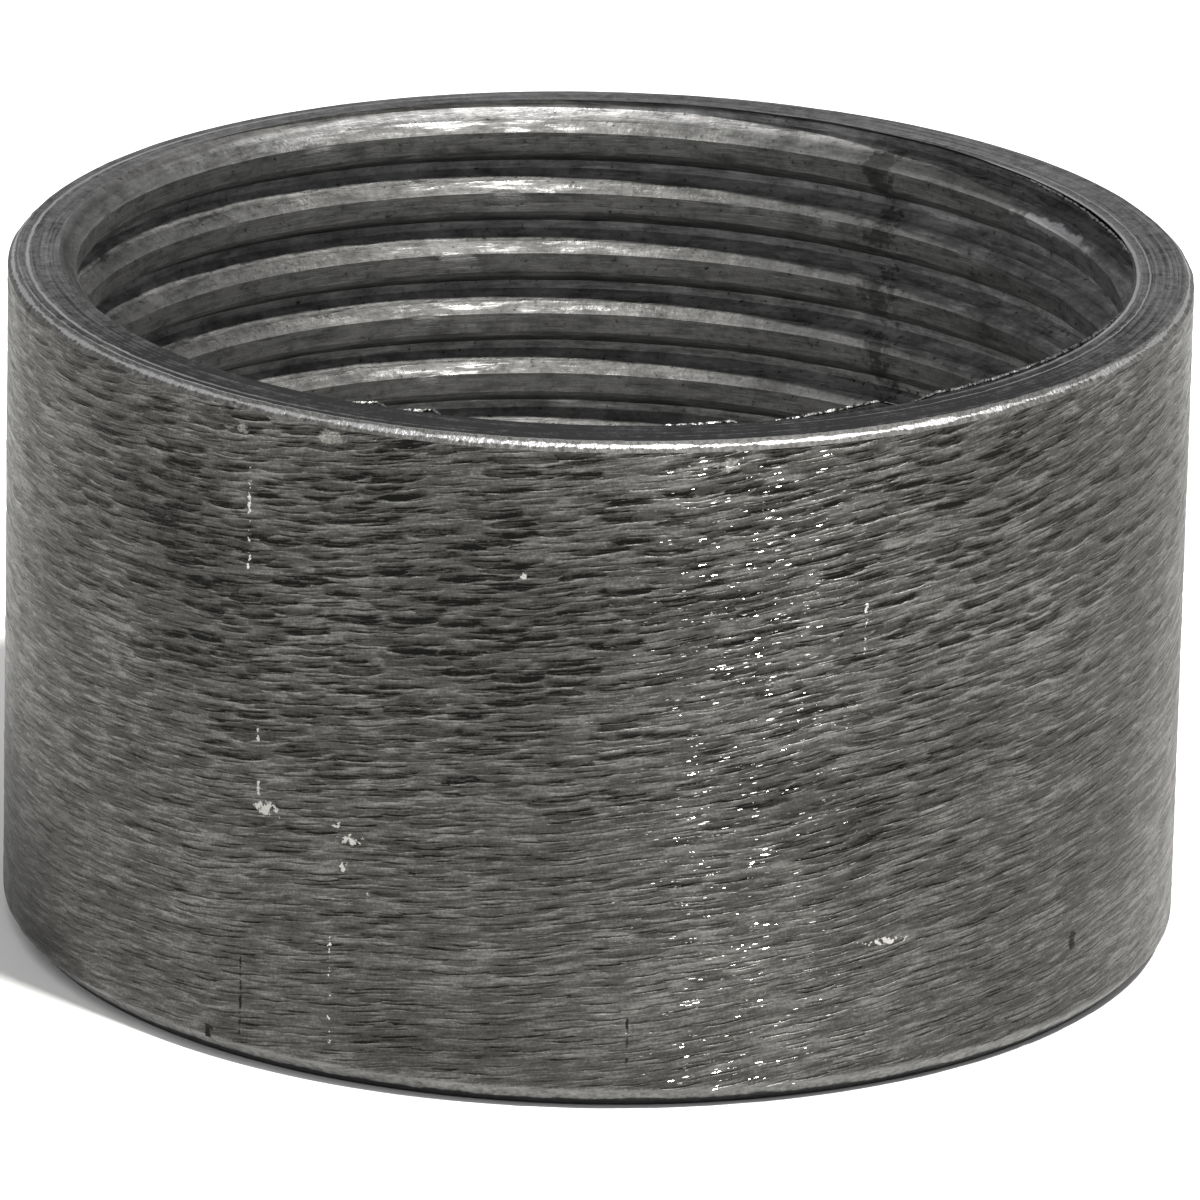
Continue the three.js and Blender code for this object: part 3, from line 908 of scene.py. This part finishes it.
def threaded_steel():
    """The bore, as a worn tap left it.

    Blotched old metal on the thread's crests, cut metal on its flanks, pale roots of clean metal and painted
    light, black grease in the pits and in an old scar down the wall, a painted shadow in the first groove, a
    bright chamfer at the mouth, rubbed and painted brightest at the back as a highlight, and painted shade
    and light across the bore from -X to +X."""
    c = colours()
    material, tree, surface = new_material("tap_cut_carbon_steel")
    place, part = place_in_mm(tree)
    radius, direction = polar(tree, part)
    into_groove = add(tree, MATH, radius, -sizes().bore_diameter / 2 / MM, operation="ADD")
    depth = add(tree, MATH, HEIGHT / MM, part["Z"], operation="SUBTRACT")
    cut_place = add(tree, VECTOR, place, (0.6, 0.6, 7.0), operation="MULTIPLY")
    smear = add(tree, NOISE, cut_place, 1.0, 4.0, 0.65)
    pits = add(tree, NOISE, place, 4.5, 4.0, 0.65)
    stain = add(tree, NOISE, place, 0.4, 3.0, 0.6)
    rust_place = add(tree, VECTOR, place, (0.8, 0.8, 2.2), operation="MULTIPLY")
    rust = add(tree, NOISE, rust_place, 1.0, 5.0, 0.68)
    ragged = add(tree, MATH, pits, -0.5, operation="ADD")
    blot = add(tree, NOISE, place, 1.3, 4.0, 0.6)
    blot = add(tree, MATH, blot, -0.5, operation="ADD")

    # Crests are old metal with a ragged edge. Roots are clean metal and painted light, downward faces keep
    # the flank's colour as painted shade, and the bore is painted darker towards -X and lighter towards +X.
    edge = layered(tree, into_groove, (pits, 0.3), (rust, 0.9))
    freshness = add(tree, RANGE, edge, 0.65, 0.79, 0.0, 1.0)
    # Painted light on the roots, partly the clean metal's own colour.
    root = add(tree, RANGE, into_groove, 0.5, 0.85, 0.0, 0.75)
    facing = add(tree, SPLIT, add(tree, COORDINATES, out="Normal"), out="Z")
    # Painted shade: faces that look down are painted back to the flank's colour.
    underside = add(tree, RANGE, facing, -0.65, -0.2, 1.0, 0.0)
    rubbed = mouth_band(tree, direction, depth, stain, ragged, smear)
    mouth = add(tree, RANGE, depth, 0.16, 0.26, 0.8, 0.0)
    shade = add(tree, MIX, freshness, c.crest, c.flank, data_type="RGBA")
    shade = coated(tree, shade, (root, c.clean_and_lit_root), (underside, c.flank), (rubbed, c.edge), (mouth, c.wall_mid))
    tone = layered(tree, smear, (pits, 0.6), (stain, 0.5))
    tone = add(tree, RANGE, tone, 0.74, 1.36, 0.55, 1.4)
    blotches = add(tree, RANGE, rust, 0.36, 0.6, 0.62, 1.22)
    # Painted light and shade: darker towards -X, lighter towards +X.
    side_light_and_shade = add(tree, VECTOR, direction, (1.0, -0.3, 0.0), operation="DOT_PRODUCT", out="Value")
    side_light_and_shade = add(tree, RANGE, side_light_and_shade, -0.9, 0.8, 0.8, 1.35)
    for factor in (blotches, side_light_and_shade):
        tone = add(tree, MATH, tone, factor, operation="MULTIPLY")
    shade = add(tree, VECTOR, shade, tone, operation="SCALE")

    # The first groove is painted dark as its shadow, behind a bright lip. Grease fills the pits and the
    # scar.
    start = first_groove_shadow(tree, direction, depth, into_groove)
    lip = local_mark(tree, place, part, LIP_PATCH, blot, LIP_RADIUS)
    lip = add(tree, MATH, lip, 0.7, operation="MULTIPLY")
    black = add(tree, RANGE, pits, 0.3, 0.37, 0.85, 0.0)
    scar_edge = layered(tree, blot, (ragged, 0.5))
    scar = local_mark(tree, place, part, SCAR, scar_edge, SCAR_RADIUS)
    scar = add(tree, MATH, scar, 0.55, operation="MULTIPLY")
    black = add(tree, MATH, black, scar, operation="MAXIMUM")
    shade = coated(tree, shade, (start, c.soil), (lip, c.edge), (black, c.soil))

    # Worn flanks lean towards the bore, so they catch the light.
    worn = add(tree, RANGE, into_groove, 0.1, 0.5, 0.0, 1.0)
    worn = add(tree, BUMP, sockets={"Strength": 1.0, "Distance": 0.09 * MM, "Height": worn})
    height = layered(tree, smear, (pits, 0.6))
    bump = add(tree, BUMP, sockets={
        "Strength": 0.6, "Distance": 0.06 * MM, "Height": height, "Normal": worn})
    polish = add(tree, RANGE, smear, 0.5, 0.64, 0.6, 0.28)
    rough = add(tree, MIX, freshness, 0.62, polish)
    rough = add(tree, MIX, rubbed, rough, 0.28)
    finish_surface(tree, surface, Base_Color=shade, Metallic=0.9, Roughness=rough, Normal=bump)
    return material


def torn_steel(name, tint, shine):
    """Metal that the tool tore over the edge: bright specks of rubbed metal and painted glints, with black
    flecks in its folds.
    """
    material, tree, surface = new_material(name)
    place, _ = place_in_mm(tree)
    fold = add(tree, NOISE, place, 7.0, 3.0, 0.65)
    # The brightest stop is rubbed metal and painted glints in one.
    shade = ramp(tree, fold, (0.4, colours().soil), (0.54, tint), (0.68, times(tint, shine)))
    bump = add(tree, BUMP, sockets={"Strength": 0.7, "Distance": 0.05 * MM, "Height": fold})
    rough = add(tree, RANGE, fold, 0.3, 0.7, 0.6, 0.3)
    finish_surface(tree, surface, Base_Color=shade, Metallic=1.0, Roughness=rough, Normal=bump)
    return material


# ------------------------ pieces

SHARP_ANGLE = math.radians(38)


def plain_copy(obj):
    """Turns an object and its modifiers into one plain mesh."""
    graph = bpy.context.evaluated_depsgraph_get()
    mesh = bpy.data.meshes.new_from_object(
        obj.evaluated_get(graph), preserve_all_data_layers=True, depsgraph=graph)
    obj.modifiers.clear()
    obj.data = mesh


def set_inputs(modifier, values):
    """Sets a geometry nodes modifier's inputs, given by name, through their identifiers."""
    for item in modifier.node_group.interface.items_tree:
        if item.name in values:
            modifier[item.identifier] = values[item.name]


class MakeCap(bpy.types.Operator):
    """The cap itself: wall, closed end, rim and threaded bore, in one closed mesh"""

    bl_idname = "pipecap.make_cap"
    bl_label = "Cap"

    def execute(self, context):
        s = sizes()
        c = colours()
        mesh = welded_mesh("cap_blank", cap_rows(s), column_angles(s), (0.0, HEIGHT - s.cavity_depth))
        cap = bpy.data.objects.new("cap_shell", mesh)
        context.scene.collection.objects.link(cap)
        materials = {
            "wall": belt_ground_steel(),
            "end_edge": shaded_end_chamfer_steel(),
            "rim": turned_steel("lathe_faced_carbon_steel", c.rim, 0.12, 2.5, 0.42, rubbed=True),
            "mouth_edge": rubbed_edge_steel(),
            "bore": threaded_steel(),
            "end_face": turned_steel("faced_end_carbon_steel", c.wall_mid, 0.3, 1.0, 0.45),
            "cavity_floor": turned_steel("bored_floor_carbon_steel", c.floor, 0.35, 1.0, 0.66),
        }
        mesh.materials.append(materials["end_face"])
        modifier = cap.modifiers.new("thread_and_grinding", "NODES")
        modifier.node_group = thread_and_grinding_tree(materials)
        set_inputs(modifier, {
            "Bore radius": s.bore_diameter / 2,
            "Height": HEIGHT,
            "Pitch": s.thread_pitch,
            "Depth": s.thread_depth,
            "Root flat": s.root_flat,
            "Flank slope": math.tan(s.flank_angle),
            "Threaded length": s.cavity_depth - s.plain_length,
            "Run-out turns": s.run_out_turns,
            "Clocking turns": s.thread_clocking / (2 * math.pi),
            "Rim outer radius": OUTER_RADIUS - s.mouth_outer_chamfer,
            "Rim inner radius": s.bore_diameter / 2 + s.mouth_inner_chamfer,
            "Grinding depth": s.grinding_depth,
        })
        plain_copy(cap)
        cap.data.shade_smooth()
        cap.data.set_sharp_from_angle(angle=SHARP_ANGLE)
        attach(cap, BODY)
        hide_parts(NODE)
        return {"FINISHED"}


class MakeBurrs(bpy.types.Operator):
    """Thin burrs that the facing tool left hanging over the mouth's inner edge, each with a rolled lip"""

    bl_idname = "pipecap.make_burrs"
    bl_label = "Mouth burrs"

    def execute(self, context):
        s = sizes()
        c = colours()
        burrs = bpy.data.objects.new("mouth_burrs", burr_paths(s))
        context.scene.collection.objects.link(burrs)
        # Both finishes carry painted glints on their brightest specks.
        web = torn_steel("torn_carbon_steel", c.wall_dark, 2.5)
        lip = torn_steel("rubbed_burr_carbon_steel", c.wall_light, 1.5)
        burrs.data.materials.append(web)
        modifier = burrs.modifiers.new("swept_burrs", "NODES")
        modifier.node_group = burr_tree(web, lip)
        set_inputs(modifier, {
            "Highest": HEIGHT - 0.004 * MM,
            "Jaggedness": 0.16 * MM,
            "Grain": 3.0 / MM,
            "Sides": 5,
        })
        plain_copy(burrs)
        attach(burrs, BODY)
        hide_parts(NODE)
        return {"FINISHED"}


class MakeStage(bpy.types.Operator):
    """The studio: pale floor, soft light and the camera"""

    bl_idname = "pipecap.make_stage"
    bl_label = "Studio"

    def execute(self, context):
        look = studio()
        scene = context.scene
        middle = Vector((0, 0, LOW.z + HEIGHT / 2))
        self.lay_floor(scene, look)
        self.aim_camera(scene, look, middle)
        self.hang_key_light(scene, look, middle)
        self.fill_air(scene, look)
        scene.view_settings.view_transform = "Standard"
        return {"FINISHED"}

    def lay_floor(self, scene, look):
        """A white card, a hair under the cap so that the two don't share a plane."""
        half = 2.0
        level = LOW.z - 0.01 * MM
        corners = [(x * half, y * half, level) for x, y in ((-1, -1), (1, -1), (1, 1), (-1, 1))]
        mesh = bpy.data.meshes.new("studio_floor")
        mesh.from_pydata(corners, [], [(0, 1, 2, 3)])
        floor = bpy.data.objects.new("studio_floor", mesh)
        scene.collection.objects.link(floor)
        material, tree, surface = new_material("matt_white_card")
        finish_surface(tree, surface, Base_Color=tuple(look.floor), Roughness=0.9, IOR=1.45)
        mesh.materials.append(material)

    def aim_camera(self, scene, look, middle):
        sight = Vector((0, -math.cos(look.camera_elevation), math.sin(look.camera_elevation)))
        eye = middle + sight * look.camera_distance
        aim = middle + Vector((look.aim_right, 0, 0)) + Vector((0, sight.z, -sight.y)) * look.aim_up
        back = (eye - aim).normalized()
        right = Vector((0, 0, 1)).cross(back).normalized()
        upward = back.cross(right)
        roll = look.camera_roll
        camera_right = right * math.cos(roll) + upward * math.sin(roll)
        camera_up = upward * math.cos(roll) - right * math.sin(roll)
        turn = Matrix((camera_right, camera_up, back)).transposed()
        data = bpy.data.cameras.new("camera")
        data.lens = look.lens
        data.sensor_width = 36
        data.clip_start, data.clip_end = 0.01, 20
        camera = bpy.data.objects.new("camera", data)
        camera.matrix_world = Matrix.Translation(eye) @ turn.to_4x4()
        scene.collection.objects.link(camera)
        scene.camera = camera

    def hang_key_light(self, scene, look, middle):
        """A soft round lamp that looks at the cap."""
        level = math.cos(look.key_elevation)
        away = Vector((math.sin(look.key_azimuth) * level, -math.cos(look.key_azimuth) * level,
                       math.sin(look.key_elevation)))
        data = bpy.data.lights.new("key", "AREA")
        data.shape = "DISK"
        data.size = look.key_size
        data.energy = look.key_power
        data.color = tuple(look.key_tint)[:3]
        lamp = bpy.data.objects.new("key", data)
        lamp.location = middle + away * look.key_distance
        lamp.rotation_mode = "QUATERNION"
        lamp.rotation_quaternion = away.to_track_quat("Z", "Y")
        scene.collection.objects.link(lamp)

    def fill_air(self, scene, look):
        """Pale air all round, brighter overhead and a little brighter on the left."""
        world = bpy.data.worlds.new("studio_air")
        world.use_nodes = True
        tree = world.node_tree
        background = tree.nodes["Background"]
        part = add(tree, SPLIT, add(tree, COORDINATES, out="Generated")).node.outputs
        shade = ramp(tree, part["Z"], (0.0, tuple(look.air_low)), (0.35, tuple(look.air_middle)),
                     (1.0, tuple(look.air_high)))
        strength = add(tree, RANGE, part["X"], -1.0, 1.0, 0.93, 0.68)
        finish_surface(tree, background, Color=shade, Strength=strength)
        scene.world = world


class PipeCapPanel(bpy.types.Panel):
    """Lists the pipe cap's steps"""

    bl_idname = "VIEW3D_PT_pipe_cap"
    bl_label = "Pipe cap"
    bl_space_type = "VIEW_3D"
    bl_region_type = "UI"
    bl_category = "Pipe cap"

    def draw(self, context):
        for operator in OPERATORS:
            self.layout.operator(operator.bl_idname)
        for group in (sizes(), context.scene.pipe_cap_colours, studio()):
            box = self.layout.box()
            for name in type(group).__annotations__:
                box.prop(group, name)


OPERATORS = (MakeStage, MakeCap, MakeBurrs)
CLASSES = (CapSizes, CapColours, StudioSettings, *OPERATORS, PipeCapPanel)


def register():
    for each in CLASSES:
        bpy.utils.register_class(each)
    bpy.types.Scene.pipe_cap_sizes = PointerProperty(type=CapSizes)
    bpy.types.Scene.pipe_cap_colours = PointerProperty(type=CapColours)
    bpy.types.Scene.pipe_cap_studio = PointerProperty(type=StudioSettings)


def unregister():
    del bpy.types.Scene.pipe_cap_studio
    del bpy.types.Scene.pipe_cap_colours
    del bpy.types.Scene.pipe_cap_sizes
    for each in reversed(CLASSES):
        bpy.utils.unregister_class(each)


def main():
    register()
    bpy.ops.pipecap.make_stage()
    bpy.ops.pipecap.make_cap()
    bpy.ops.pipecap.make_burrs()


if __name__ == "__main__":
    main()
